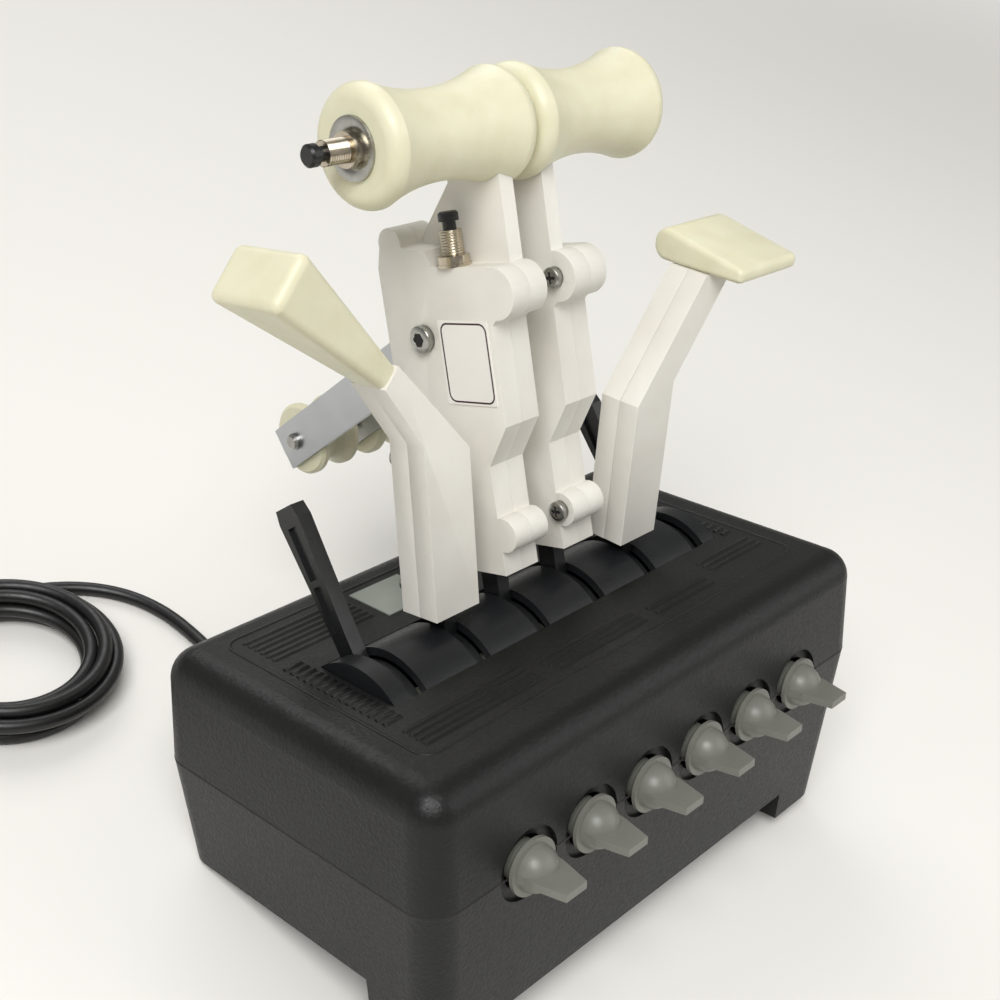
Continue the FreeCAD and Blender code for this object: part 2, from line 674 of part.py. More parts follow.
def build_cable():
    """USB cable: its gland, the free run, the tied coil, the tail and the plug."""
    profile = [(0, -6), (s.gland_radius, -6), (s.gland_radius, 0), (s.gland_radius + 1.4, 0),
               (s.gland_radius + 1.4, 2), (s.gland_radius - 0.2, 3), (s.cable_radius + 0.8, s.gland_length),
               (0, s.gland_length)]
    gland = turned("cable_gland", profile)
    seat = float(s.case_depth) / 2 - inset(GLAND_Z) + 0.5
    finish(gland, turned_to(Y_AXIS, GLAND_X, seat, GLAND_Z))
    radius = float(s.cable_radius)
    to_ground = GROUND.inverse().multiply(STANCE)
    leave = to_ground.multVec(Vector(float(GLAND_X), seat + float(s.gland_length), float(GLAND_Z)))
    heading = to_ground.Rotation.multVec(Y_AXIS)
    first = leave + heading * 14.0
    run = tube_along([tuple(leave), tuple(first)] + CABLE_ROUTE, radius)
    tail = tube_along(TAIL_ROUTE, radius)
    cable = joined("cable", [run, tail])
    cable.Placement = GROUND
    nodes.append(cable)
    coil = doc.addObject("Part::Torus", "cable_coil")
    coil.Label = "cable_coil"
    coil.setExpression("Radius1", s.coil_radius.text)
    coil.setExpression("Radius2", s.coil_thickness.text)
    coil.Placement = GROUND.multiply(moved(COIL_CENTRE[0], COIL_CENTRE[1], s.coil_thickness))
    nodes.append(coil)
    end = Vector(*TAIL_ROUTE[-1])
    way = Vector(end.x - TAIL_ROUTE[-2][0], end.y - TAIL_ROUTE[-2][1], 0).normalize()
    plug_frame = GROUND.multiply(Placement(end, Rotation(X_AXIS, way)))
    grip = new_body("usb_grip")
    half_wide = s.plug_width / 2 + 1.5
    add(grip, "XY", -s.plug_grip_half, s.plug_grip_half, [rectangle(0, s.plug_grip, -half_wide, half_wide)])
    rounded(grip, 1.5, lambda edge: runs_along(edge, X_AXIS))
    grip.Placement = plug_frame
    shell = new_body("usb_shell")
    low, high = s.plug_grip, s.plug_grip + s.plug_shell
    wide = s.plug_width / 2
    outer = rectangle(-wide, wide, -s.plug_height / 2, s.plug_height / 2)
    wall = 0.4
    inner = rectangle(wall - wide, wide - wall, wall - s.plug_height / 2, s.plug_height / 2 - wall)
    add(shell, "YZ", low, high, [outer])
    cut(shell, "YZ", low + 3, high + 1, [inner])
    add(shell, "YZ", low + 2, high - 0.5, [rectangle(wall - wide, wide - wall, wall - s.plug_height / 2, 0)])
    shell.Placement = plug_frame
    nodes.append(grip)
    nodes.append(shell)


# ---------------------------------------------------------------- levers

def build_core(label, number, lean, pockets):
    """Lever core: a round hub on the axle with a tapering arm, bare or inside white plates."""
    body = new_body(label)
    half = CORE_HALF
    hub = [Disc(0, 0, s.hub_radius), Disc(0, 0, s.axle_radius + s.running_gap)]
    add(body, "YZ", -half, half, hub)
    tip = s.core_reach
    arm = [(-s.core_foot_half, s.hub_radius / 2), (s.core_foot_half, s.hub_radius / 2),
           (s.core_foot_half, s.shell_foot), (s.core_tip_half, tip - 4),
           (s.core_tip_half - 1, tip), (-s.core_tip_half + 1, tip), (-s.core_tip_half, tip - 4),
           (-s.core_foot_half, s.shell_foot)]
    add(body, "YZ", -half, half, [arm])
    rim = s.hub_radius - 2.0
    groove = [Disc(0, 0, rim), Disc(0, 0, rim - 4.0)]
    add_depth = s.core_pocket_depth
    cut(body, "YZ", half - add_depth, half + 1, groove)
    if pockets:
        inner = s.core_foot_half - 1.2
        for low, high in ((s.shell_foot + 2, 42.0), (44.0, tip - 6)):
            window = rectangle(-inner, inner, low, high)
            cut(body, "YZ", half - add_depth, half + 1, [window])
            cut(body, "YZ", -half - 1, -half + add_depth, [window])
    finish(body, lever_frame(number, lean))


def screw_profile(radius, length, head_radius, head_height):
    """Return a pan head screw's half outline, its head's seat at height 0."""
    return [(0, -length), (radius, -length), (radius, 0), (head_radius, 0),
            (head_radius, head_height * 0.6), (head_radius * 0.7, head_height), (0, head_height)]


def sided(side, near, far):
    """Return the low and high X of a stretch given outwards from a lever's middle."""
    if side > 0:
        return as_size(near), as_size(far)
    return -as_size(far), -as_size(near)


def throttle_outline():
    """Return a throttle plate's outline, back and up from the axle."""
    foot = s.plate_half_foot
    waist = s.waist_height
    rear = s.plate_rear
    front = s.plate_front
    shelf = s.shelf_height
    return [(-foot, s.plate_foot), (foot, s.plate_foot), (foot, waist), (rear, waist + 21),
            (rear, shelf), (rear - 2.4, shelf + 8), (rear - 10, shelf + 6.4),
            (rear - 12, shelf + 5.6), (rear - 20.2, shelf + 4.8), (rear - 22, shelf),
            (-front - 2, shelf), (-front - 2, shelf - 14.2), (-front, shelf - 16),
            (-front, waist + 13), (-foot + 0.5, waist + 1), (-foot + 0.5, waist - 12)]


def throttle_knob_frame(number):
    """Return the frame of a throttle knob's middle axis on its lever."""
    lever = lever_frame(number, s.throttle_lean)
    return lever.multiply(moved(0, s.knob_back, s.knob_height))


def build_throttle(name, number, side):
    """One throttle: two plates on a core, a knob, its screws and its button bushes."""
    lever = lever_frame(number, s.throttle_lean)
    build_core(name + "_core", number, s.throttle_lean, False)
    half = s.plate_half
    boss = Disc(-s.plate_front - 2, s.shelf_height - s.upper_boss_radius, s.upper_boss_radius)
    lower = Disc(-s.plate_half_foot - 0.8, s.lower_boss_height, s.lower_boss_radius)
    horn = Disc(s.plate_rear - 6.4, s.shelf_height + 6.9, s.horn_radius)
    channel = rectangle(-s.core_tip_half - s.core_gap, s.core_tip_half + s.core_gap,
                        s.plate_foot - 1, s.core_reach + s.core_gap)
    pivot = Disc(s.pivot_back, s.pivot_height, s.pivot_radius)
    slot_low = s.pivot_height - 21.0
    slot_high = s.pivot_height + 27.0
    slot = [(s.pivot_back - 2, s.pivot_height - 8), (s.plate_rear + 6, slot_low),
            (s.plate_rear + 6, slot_high), (s.pivot_back - 2, s.pivot_height + 8)]
    bar_room = s.bar_thickness / 2 + s.bar_slack
    for part, inward in (("_outer_plate", False), ("_inner_plate", True)):
        way = -side if inward else side
        body = new_body(name + part)
        low, high = sided(way, 0, half)
        add(body, "YZ", low, high, [throttle_outline()])
        for disc in (boss, lower, horn):
            add(body, "YZ", low, high, [disc])
        if inward:
            neck_low, neck_high = sided(way, s.neck_start, half)
            rear_top = -s.neck_seat
            neck = [(s.plate_rear - 11.2, s.shelf_height - 1), (s.plate_rear - 11.2, s.shelf_height + 7.4),
                    (-1.6, s.shelf_height + 22), (rear_top, s.knob_height + 2.5),
                    (-s.neck_front, s.knob_height + 2.5), (-s.neck_front, s.shelf_height - 1)]
            add(body, "YZ", neck_low, neck_high, [neck])
        room_low, room_high = sided(way, -1, CORE_HALF + s.core_gap)
        cut(body, "YZ", room_low, room_high, [channel])
        bar_low, bar_high = sided(way, -1, bar_room)
        cut(body, "YZ", bar_low, bar_high, [slot])
        cut(body, "YZ", bar_low, bar_high, [Disc(s.pivot_back, s.pivot_height, s.bar_width / 2 + 1)])
        through_low, through_high = sided(way, -1, half + 1)
        cut(body, "YZ", through_low, through_high, [pivot])
        if not inward:
            through_low, through_high = sided(way, -1, half - s.blind_depth)
        holes = [Disc(boss.u, boss.v, s.screw_radius), Disc(lower.u, lower.v, s.screw_radius)]
        cut(body, "YZ", through_low, through_high, holes)
        if not inward:
            middle = side * half / 2
            cut(body, "XY", s.shelf_height - 8, s.shelf_height + 30,
                [Disc(middle, s.button_back, s.bush_stub)])
        finish(body, lever)
    build_throttle_knob(name, number, side)
    build_throttle_screws(name, lever, side, boss, lower)


def build_throttle_knob(name, number, side):
    """Throttle knob: a waisted roller shape on the plate's neck, bored for a push button."""
    frame = throttle_knob_frame(number)
    body = new_body(name + "_knob")
    inner_end = s.lever_pitch / 2 - s.knob_gap / 2
    low, high = sided(side, -inner_end, s.knob_length - inner_end)
    add(body, "YZ", low, high, [Disc(0, 0, s.knob_radius)])
    middle = (low + high) / 2
    depth = s.knob_radius - s.knob_waist
    half_waist = s.knob_length / 2 - s.knob_rounding - 0.5
    sweep = (half_waist * half_waist + depth * depth) / (2 * depth)
    waist = new_sketch(body, "XY", 0)
    draw(waist, [Disc(middle, s.knob_waist + sweep, sweep)])
    groove = body.newObject("PartDesign::Groove", body.Name + "_waist")
    groove.Profile = waist
    groove.ReferenceAxis = (waist, ["H_Axis"])
    groove.Angle = 360.0
    ends = (low.value, high.value)
    rounded(body, s.knob_rounding,
            lambda edge: min(abs(edge.BoundBox.XMin - x) + abs(edge.BoundBox.XMax - x) for x in ends) < 0.01)
    seat_low, seat_high = sided(-side, s.neck_start - s.core_gap, s.plate_half + s.core_gap)
    front = -s.neck_front - s.knob_back - s.core_gap
    rear = s.plate_rear - 11.2 - s.knob_back
    top = as_size(2.5) + s.core_gap
    seat = [(front, -2 * s.knob_radius), (rear, -2 * s.knob_radius),
            (-1.6 - s.knob_back + s.core_gap, s.shelf_height + 22 - s.knob_height),
            (-s.neck_seat - s.knob_back + s.core_gap, top), (front, top)]
    cut(body, "YZ", seat_low, seat_high, [seat])
    bore_low, bore_high = sided(side, s.knob_length - inner_end - 20, s.knob_length - inner_end + 1)
    cut(body, "YZ", bore_low, bore_high, [Disc(0, 0, s.bush_stub)])
    finish(body, frame)


def bush_profile(washer_radius):
    """Return a push button bush's half outline: stub, washer, nut and threaded neck."""
    washer_top = s.washer_height
    nut_top = washer_top + s.nut_height
    bore = s.plunger_radius + s.running_gap
    return [(bore, -7.5), (s.bush_stub, -7.5), (s.bush_stub, 0), (washer_radius, 0),
            (washer_radius, washer_top), (s.nut_radius, washer_top), (s.nut_radius, nut_top),
            (s.bush_radius, nut_top), (s.bush_radius, s.bush_height), (bore, s.bush_height)]


def plunger_profile():
    """Return a push button plunger's half outline: a cap on a stem, out of its bush."""
    cap_low = s.bush_height + s.button_stroke + 0.4
    cap_high = cap_low + s.cap_height - s.button_stroke
    return [(0, -4.0), (s.plunger_radius, -4.0), (s.plunger_radius, cap_low),
            (s.cap_radius, cap_low), (s.cap_radius, cap_high - 0.6),
            (s.cap_radius - 0.6, cap_high), (0, cap_high)]


def build_throttle_screws(name, lever, side, boss, lower):
    """Fasteners, bushes and button plungers of one throttle."""
    half = s.plate_half
    screw = turned(name + "_screw_source", screw_profile(s.screw_radius, 2 * half - s.blind_depth - 0.5,
                                                        s.screw_head_radius, s.screw_head_height))
    pin = turned(name + "_pin_source", screw_profile(s.pivot_radius, 2 * half - 0.5,
                                                    s.pivot_head_radius, s.pivot_head_height))
    doc.recompute()
    shapes = []
    for source, way, u, v in ((screw, -side, boss.u, boss.v), (screw, -side, lower.u, lower.v),
                              (pin, side, s.pivot_back, s.pivot_height)):
        shape = source.Shape.copy()
        shape.Placement = turned_to(Vector(way, 0, 0), way * float(half), u, v).multiply(shape.Placement)
        shapes.append(shape)
    finish(joined(name + "_screws", shapes), lever)
    knob_end = float(s.knob_length - (s.lever_pitch / 2 - s.knob_gap / 2))
    upright_button = moved(side * half / 2, s.button_back, s.shelf_height)
    end_button = turned_to(Vector(side, 0, 0), side * knob_end, s.knob_back, s.knob_height)
    small = turned(name + "_small_bush", bush_profile(s.washer_radius))
    big = turned(name + "_big_bush", bush_profile(s.big_washer_radius))
    doc.recompute()
    small_shape = small.Shape.copy()
    small_shape.Placement = upright_button.multiply(small_shape.Placement)
    big_shape = big.Shape.copy()
    big_shape.Placement = end_button.multiply(big_shape.Placement)
    finish(joined(name + "_bushes", [small_shape, big_shape]), lever)
    for label, frame in ((name + "_shelf_button", upright_button), (name + "_knob_button", end_button)):
        finish(turned(label, plunger_profile()), lever.multiply(frame))


def build_label():
    """Label: a thin plate on the left throttle's outer face."""
    body = new_body("throttle_label")
    face = -s.plate_half
    right = -s.plate_front + s.label_width + 2
    low = s.pivot_height - s.label_height / 2 - 6.7
    corner = rectangle(right - s.label_width, right, low, low + s.label_height)
    add(body, "YZ", face - s.label_thickness, face, [corner])
    finish(body, lever_frame(2, s.throttle_lean))


def build_reverser(name, number):
    """One reverser: a flat bar pivoted in its throttle, with a roller on its free end."""
    pivot = lever_frame(number, s.throttle_lean).multiply(moved(0, s.pivot_back, s.pivot_height))
    frame = pivot.multiply(Placement(Vector(), Rotation(X_AXIS, -float(s.bar_droop))))
    half = s.bar_thickness / 2
    body = new_body(name + "_bar")
    end = s.bar_length
    add(body, "YZ", -half, half, [rectangle(0, end, -s.bar_width / 2, s.bar_width / 2)])
    add(body, "YZ", -half, half, [Disc(0, 0, s.bar_width / 2)])
    roller_place = s.bar_length - 8.0
    holes = [Disc(0, 0, s.pivot_radius + s.running_gap), Disc(roller_place, 0, s.screw_radius)]
    cut(body, "YZ", -half - 1, half + 1, holes)
    finish(body, frame)
    roller = new_body(name + "_roller")
    lip = as_size(2.6)
    length = s.roller_length
    flange = s.roller_radius
    waist = s.roller_waist
    profile = [(s.screw_radius, 0), (flange - 1, 0), (flange, 1), (flange, lip),
               (waist + 1, lip + 2.5), (waist, length / 2), (waist + 1, length - lip - 2.5),
               (flange, length - lip), (flange, length - 1), (flange - 1, length),
               (s.screw_radius, length)]
    spun(roller, "Revolution", [profile])
    finish(roller, frame.multiply(turned_to(X_AXIS, half, roller_place, 0)))
    screw = turned(name + "_screw", screw_profile(s.screw_radius, s.bar_thickness + s.roller_length * 0.7,
                                                  s.screw_head_radius, s.screw_head_height))
    finish(screw, frame.multiply(turned_to(-X_AXIS, -half, roller_place, 0)))


def build_shells(name, number, lean, side, arm):
    """A lever's front and rear shells around its core, split across the lever's depth."""
    lever = lever_frame(number, lean)
    build_core(name + "_core", number, lean, False)
    corners = [(side * u, v) for u, v in arm]
    room = CORE_HALF + s.core_gap
    channel = rectangle(-room, room, s.shell_foot - 1, s.core_reach + s.core_gap)
    deep = s.core_tip_half + s.core_gap
    screw_places = [(side * 5.3, s.shell_foot + 8), (side * 5.3, s.bend_height - 6)]
    halves = (("_front_shell", -s.plate_half, as_size(0)), ("_rear_shell", as_size(0), s.plate_half))
    for part, low, high in halves:
        body = new_body(name + part)
        add(body, "XZ", low, high, [corners])
        if part == "_front_shell":
            cut(body, "XZ", -deep, as_size(1), [channel])
            holes = [Disc(u, v, s.screw_radius) for u, v in screw_places]
            cut(body, "XZ", -s.plate_half + 2, as_size(1), holes)
        else:
            cut(body, "XZ", as_size(-1), deep, [channel])
            holes = [Disc(u, v, s.screw_radius) for u, v in screw_places]
            cut(body, "XZ", as_size(-1), s.plate_half + 1, holes)
        finish(body, lever)
    screw = turned(name + "_screw_source", screw_profile(s.screw_radius, 2 * s.plate_half - 2.5,
                                                        s.screw_head_radius, s.screw_head_height))
    frames = [turned_to(Y_AXIS, u, s.plate_half, v) for u, v in screw_places]
    finish(copies(name + "_screws", screw, frames), lever)
    return lever


def build_speed_brake():
    """Speed brake lever: its arm leans to the left and ends in a wedge shaped knob."""
    turn = math.radians(float(s.wedge_lean))
    along = Vector(math.sin(turn), 0, math.cos(turn))
    end_half = s.wedge_small / 2
    foot_u, foot_v = 18.0, 99.2
    high = (foot_u - end_half * along.z, foot_v + end_half * along.x)
    low = (foot_u + end_half * along.z, foot_v - end_half * along.x)
    half = s.shell_half_width
    arm = [(-half, s.shell_foot), (half, s.shell_foot), (half, s.bend_height), low, high,
           (-half, s.bend_height - 4.3)]
    lever = build_shells("speed_brake", 1, s.brake_lean, -1, arm)
    knob = new_body("speed_brake_knob")
    small, big = s.wedge_small / 2, s.wedge_big / 2
    small_deep, big_deep = s.wedge_small_deep / 2, s.wedge_big_deep / 2
    length = s.wedge_length
    add(knob, "XZ", -big_deep, big_deep, [[(-small, 0), (small, 0), (big, length), (-big, length)]])
    for way in (-1, 1):
        beyond = 3 * way * big_deep
        side_cut = [(way * small_deep, 0), (beyond, -1), (beyond, length + 1), (way * big_deep, length)]
        cut(knob, "YZ", -2 * big, 2 * big, [side_cut])
    rounded(knob, s.wedge_rounding, lambda edge: edge.BoundBox.ZMax > 1)
    frame = Placement(Vector(-foot_u, 0, foot_v), Rotation(Y_AXIS, -float(s.wedge_lean)))
    finish(knob, lever.multiply(frame))


def build_flap():
    """Flap lever: its arm leans to the right and carries a flap shaped knob on its end."""
    half = s.shell_half_width
    top = s.flap_top
    slope = 0.744
    arm = [(-half, s.shell_foot), (half, s.shell_foot), (half, s.bend_height),
           (half + (top - s.bend_height) * slope, top),
           (-half + (top - s.bend_height + 4.3) * slope, top), (-half, s.bend_height - 4.3)]
    lever = build_shells("flap", 4, s.flap_lean, 1, arm)
    knob = new_body("flap_knob")
    left = as_size(18.4)
    nose = s.flap_knob_length - 18.7
    rise = s.flap_knob_rise
    profile = [(-18.7, top), (nose, top), (nose, top + rise), (-18.7, top + s.flap_knob_edge)]
    add(knob, "YZ", left, left + s.flap_knob_width, [profile])
    nose_value = float(nose)
    rounded(knob, 4.5, lambda edge: runs_along(edge, X_AXIS) and edge.BoundBox.YMin > nose_value - 1)
    finish(knob, lever)


# ---------------------------------------------------------------- paddles

def build_paddle(number):
    """One paddle: a rod hub and neck, a round flange, a dome and a flat tapering blade."""
    body = new_body("paddle_%d" % (number + 1))
    flange_back = -(s.rod_setback + 0.4)
    flange_front = flange_back - s.paddle_flange
    hub_half = as_size(5.0)
    add(body, "YZ", -hub_half, hub_half, [Disc(0, 0, s.rod_radius + 2.5)])
    add(body, "XZ", flange_back, as_size(0), [Disc(0, 0, s.paddle_neck)])
    add(body, "XZ", flange_front, flange_back, [Disc(0, 0, s.paddle_radius)])
    dome = body.newObject("PartDesign::AdditiveSphere", body.Name + "_dome")
    dome.setExpression("Radius", s.paddle_dome.text)
    dome.setExpression("Placement.Base.y", flange_front.text)
    tip = flange_front - s.paddle_reach
    wide = s.paddle_dome
    blade = [(-wide, flange_front), (wide, flange_front), (wide - 0.6, flange_front - 5),
             (s.paddle_tip_half, tip), (-s.paddle_tip_half, tip), (-wide + 0.6, flange_front - 5)]
    add(body, "XY", -s.paddle_blade / 2, s.paddle_blade / 2, [blade])
    cut(body, "YZ", -hub_half - 3, hub_half + 3, [Disc(0, 0, s.rod_radius + s.running_gap)])
    finish(body, moved(LEVER_PLACES[number], ROD_Y, SEAM))


# ---------------------------------------------------------------- build and export

def build_all():
    """Build every sub-part."""
    build_lower_case()
    build_upper_case()
    build_badge()
    build_drum()
    build_axle()
    build_frame()
    build_sensors()
    build_sleeves()
    build_boards()
    build_rod()
    build_case_screws()
    build_cable()
    build_core("left_stub", 0, s.stub_lean, True)
    build_core("right_stub", 5, s.stub_lean, True)
    build_speed_brake()
    build_flap()
    build_throttle("left_throttle", 2, -1)
    build_throttle("right_throttle", 3, 1)
    build_label()
    build_reverser("left_reverser", 2)
    build_reverser("right_reverser", 3)
    for number in range(6):
        build_paddle(number)


def check_all():
    """Stop if any object failed or any sub-part is not a valid solid."""
    doc.recompute()
    failed = [item.Name for item in doc.Objects if "Invalid" in item.State or "Error" in item.State]
    for item in nodes:
        shape = item.Shape
        if shape.isNull() or not shape.isValid() or not shape.Solids:
            failed.append(item.Label)
    if failed:
        raise RuntimeError("failed: " + ", ".join(failed))


def export_all():
    """Write each sub-part to its own STEP file."""
    os.makedirs("parts", exist_ok=True)
    for item in nodes:
        item.Shape.exportStep("parts/%s.step" % item.Label)
        box = item.Shape.BoundBox
        print("%-28s solids %d  volume %8.0f  z %6.1f to %6.1f" %
              (item.Label, len(item.Shape.Solids), item.Shape.Volume, box.ZMin, box.ZMax))


build_all()
check_all()
export_all()
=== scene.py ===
"""Throttle quadrant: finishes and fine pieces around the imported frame.

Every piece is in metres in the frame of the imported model. Sizes in the
dataclasses are millimetres, in the frame named beside them.
"""
import json
import logging
import math
from dataclasses import dataclass
from enum import Enum
from typing import Iterable, Optional, Sequence

import bmesh
import bpy
import numpy as np
from mathutils import Matrix, Vector


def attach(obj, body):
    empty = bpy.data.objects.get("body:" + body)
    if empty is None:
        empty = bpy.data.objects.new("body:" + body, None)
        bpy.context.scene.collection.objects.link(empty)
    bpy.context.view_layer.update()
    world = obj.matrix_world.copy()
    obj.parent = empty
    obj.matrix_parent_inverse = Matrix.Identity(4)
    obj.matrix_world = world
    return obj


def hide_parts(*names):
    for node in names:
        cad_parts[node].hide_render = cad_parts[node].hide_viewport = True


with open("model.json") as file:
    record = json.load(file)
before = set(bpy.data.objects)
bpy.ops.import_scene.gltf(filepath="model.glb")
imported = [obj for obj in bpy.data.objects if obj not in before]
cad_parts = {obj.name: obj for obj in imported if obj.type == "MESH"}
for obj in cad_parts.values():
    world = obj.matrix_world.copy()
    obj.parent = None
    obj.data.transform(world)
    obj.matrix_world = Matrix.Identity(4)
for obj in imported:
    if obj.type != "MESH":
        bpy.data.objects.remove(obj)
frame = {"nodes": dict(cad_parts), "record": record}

logging.basicConfig(level=logging.INFO, format="%(message)s")
LOG = logging.getLogger("quadrant")
MM = 0.001
STAND_TILT = 15.537  # degrees that the case leans back when it stands
STAND_SHIFT = (0.0, -33.84, 14.3116)
AXLE = (-1.0, 54.2)  # the lever axle's depth and height in the case's frame
LEVER_PITCH = 25.4
LEVER_LEAN = 11.0  # degrees that the throttles lean away at rest
MERGE = 1e-6  # metres under which points of a new mesh are one
NODE_MERGE = 2e-6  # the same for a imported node's loose triangles
FLAT_ANGLE = math.radians(1.0)  # faces closer to level than this are one
SHARP_ANGLE = math.radians(35)  # edges sharper than this are rounded
NOISE_RANGE = {"From Min": 0.3, "From Max": 0.7}  # where most of a noise's values lie
ROUGH_SPREAD = 0.06
BRUSH_STRETCH = 0.06
BACKDROP = "f6f5f1"
FADE = (0.7, 2.2)  # metres from the object where the floor turns into the backdrop


def linear(code: str) -> tuple[float, float, float, float]:
    """Turn an sRGB hex colour into linear colour.

    Args:
        code: Six hex digits, such as "c8c4a2".

    Returns:
        Red, green, blue and alpha, linear.
    """
    parts = np.array([int(code[i:i + 2], 16) for i in (0, 2, 4)]) / 255.0
    out = np.where(parts <= 0.04045, parts / 12.92, ((parts + 0.055) / 1.055) ** 2.4)
    return float(out[0]), float(out[1]), float(out[2]), 1.0


def standing() -> Matrix:
    """Return the matrix from the case's own frame to the standing frame, in mm."""
    return Matrix.Translation(STAND_SHIFT) @ Matrix.Rotation(math.radians(-STAND_TILT), 4, "X")


def lever_matrix(place: int, lean: float) -> Matrix:
    """Return a lever's matrix to the standing frame, in mm.

    Args:
        place: Lever number from the left, 0 to 5.
        lean: Lean away from the user in degrees.

    Returns:
        Matrix from lever millimetres to row millimetres.
    """
    across = (place - 2.5) * LEVER_PITCH
    move = Matrix.Translation((across, AXLE[0], AXLE[1]))
    return standing() @ move @ Matrix.Rotation(math.radians(-lean), 4, "X")


def add_node(tree: bpy.types.NodeTree, kind: str, settings: Optional[dict] = None,
             links: Optional[dict] = None) -> bpy.types.Node:
    """Add a shader node with its settings and links.

    Args:
        tree: Node tree to add to.
        kind: Node type name without its prefix.
        settings: Attribute or input name to value.
        links: Input name or number to the output socket that feeds it.

    Returns:
        The new node.
    """
    node = tree.nodes.new("ShaderNode" + kind)
    for key, value in (settings or {}).items():
        if isinstance(key, str) and hasattr(node, key):
            setattr(node, key, value)
        else:
            node.inputs[key].default_value = value
    for key, socket in (links or {}).items():
        tree.links.new(socket, node.inputs[key])
    return node


class Grain(Enum):
    """How a surface was made; only a brushed grain changes the relief and colour, by stretching
    their noise along the bar.
    """

    SPARKED = "spark-eroded mould"
    POLISHED = "polished mould"
    POWDER = "laser-sintered powder"
    CAST = "cast resin"
    BRUSHED = "brushed along the bar"
    PLATED = "electroplated"


@dataclass(frozen=True)
class Finish:
    """One surface finish.

    The colour is varied by a slow noise and the relief is a fine noise, both on
    object coordinates, at sizes in millimetres.
    """

    name: str
    colour: str
    shade: str
    rough: float
    grain: Grain
    grain_mm: float
    relief_mm: float
    patch_mm: float = 18.0
    metal: float = 0.0
    coat: float = 0.0
    subsurface: float = 0.0
    specular: float = 0.5

    def build(self) -> bpy.types.Material:
        """Build the material and return it."""
        material = bpy.data.materials.new(self.name)
        material.use_nodes = True
        tree = material.node_tree
        tree.nodes.clear()
        place = add_node(tree, "TexCoord").outputs["Object"]
        if self.grain is Grain.BRUSHED:
            stretch = {"Scale": (1.0, BRUSH_STRETCH, BRUSH_STRETCH)}
            place = add_node(tree, "Mapping", stretch, {"Vector": place}).outputs["Vector"]
        patch = add_node(tree, "TexNoise", {"Scale": 1 / (self.patch_mm * MM), "Detail": 3.0},
                         {"Vector": place})
        fine = add_node(tree, "TexNoise", {"Scale": 1 / (self.grain_mm * MM), "Detail": 2.0},
                        {"Vector": place})
        spread = add_node(tree, "MapRange", NOISE_RANGE, {"Value": patch.outputs["Fac"]})
        colour = add_node(tree, "Mix", {"data_type": "RGBA", 6: linear(self.colour),
                                        7: linear(self.shade)}, {0: spread.outputs["Result"]})
        rough = add_node(tree, "MapRange", {**NOISE_RANGE, "To Min": self.rough - ROUGH_SPREAD,
                                            "To Max": self.rough + ROUGH_SPREAD},
                         {"Value": fine.outputs["Fac"]})
        bump = add_node(tree, "Bump", {"Strength": 1.0, "Distance": self.relief_mm * MM},
                        {"Height": fine.outputs["Fac"]})
        shader = add_node(tree, "BsdfPrincipled", {
            "Metallic": self.metal, "Coat Weight": self.coat, "Coat Roughness": 0.2,
            "Specular IOR Level": self.specular, "Subsurface Weight": self.subsurface,
            "Subsurface Scale": 0.004},
            {"Base Color": colour.outputs[2], "Roughness": rough.outputs["Result"],
             "Normal": bump.outputs["Normal"]})
        add_node(tree, "OutputMaterial", {}, {"Surface": shader.outputs["BSDF"]})
        return material


# Spark-eroded ABS: charcoal, broken into tiny glints that soften every highlight.
CASE_ABS = Finish("sparked_charcoal_abs", "151615", "111211", 0.42, Grain.SPARKED, 1.1, 0.13,
                  specular=0.32)
# The same ABS with a smoother mould face on the barrel.
BARREL_ABS = Finish("satin_charcoal_abs", "191a1c", "151618", 0.38, Grain.SPARKED, 1.2, 0.05,
                    specular=0.36)
# Polished black ABS: near black with a clear sheen on the short levers and caps.
BLACK_ABS = Finish("polished_black_abs", "151617", "101112", 0.33, Grain.POLISHED, 3.0, 0.01)
# Moulded grey ABS: even mid grey, satin.
PADDLE_ABS = Finish("satin_grey_abs", "77776f", "6f6f68", 0.38, Grain.POLISHED, 2.0, 0.012)
# Sintered nylon: warm white with a dry powdery face.
WHITE_NYLON = Finish("sintered_white_nylon", "dedbd3", "d7d3ca", 0.62, Grain.POWDER, 0.6, 0.03)
# Cast resin: cream, waxy and faintly mottled.
CREAM_RESIN = Finish("cast_cream_resin", "dcd9be", "d5d1b3", 0.40, Grain.CAST, 2.2, 0.035,
                     9.0, 0.0, 0.0, 0.08)
# Bright zinc on steel: cool grey, slightly cloudy.
ZINC = Finish("zinc_plated_steel", "b3b3ae", "a09f9a", 0.30, Grain.PLATED, 1.5, 0.01, 5.0, 1.0)
# Nickel on brass: warm silver and glossy.
NICKEL = Finish("nickel_plated_brass", "c9c0b0", "b9ae9b", 0.20, Grain.PLATED, 1.5, 0.006, 4.0, 1.0)
# Extruded flat bar brushed along its length: fine streaks, soft glare.
BAR = Finish("brushed_aluminium", "c3c5c8", "aeb1b5", 0.34, Grain.BRUSHED, 0.5, 0.012, 6.0, 1.0)
# Folded sheet steel inside the case.
SHEET = Finish("folded_sheet_steel", "9a9c9c", "8c8e8e", 0.40, Grain.PLATED, 2.0, 0.01, 8.0, 1.0)
# Printed polyester film: clean white, low gloss.
FILM = Finish("printed_polyester_film", "e6e3dd", "e2dfd8", 0.36, Grain.POLISHED, 3.0, 0.004)
# The film's print: a dark maroon ink.
INK = Finish("maroon_label_ink", "3a1c22", "331a1f", 0.45, Grain.POLISHED, 3.0, 0.004)
# Blank pressed badge: pale satin lacquer.
BADGE = Finish("satin_badge_lacquer", "8b9088", "838880", 0.35, Grain.POLISHED, 3.0, 0.004)
# Glass-fibre board: deep green under clear resist.
BOARD = Finish("green_fibreglass_board", "1f5a36", "1a4e2f", 0.35, Grain.POLISHED, 3.0, 0.01)
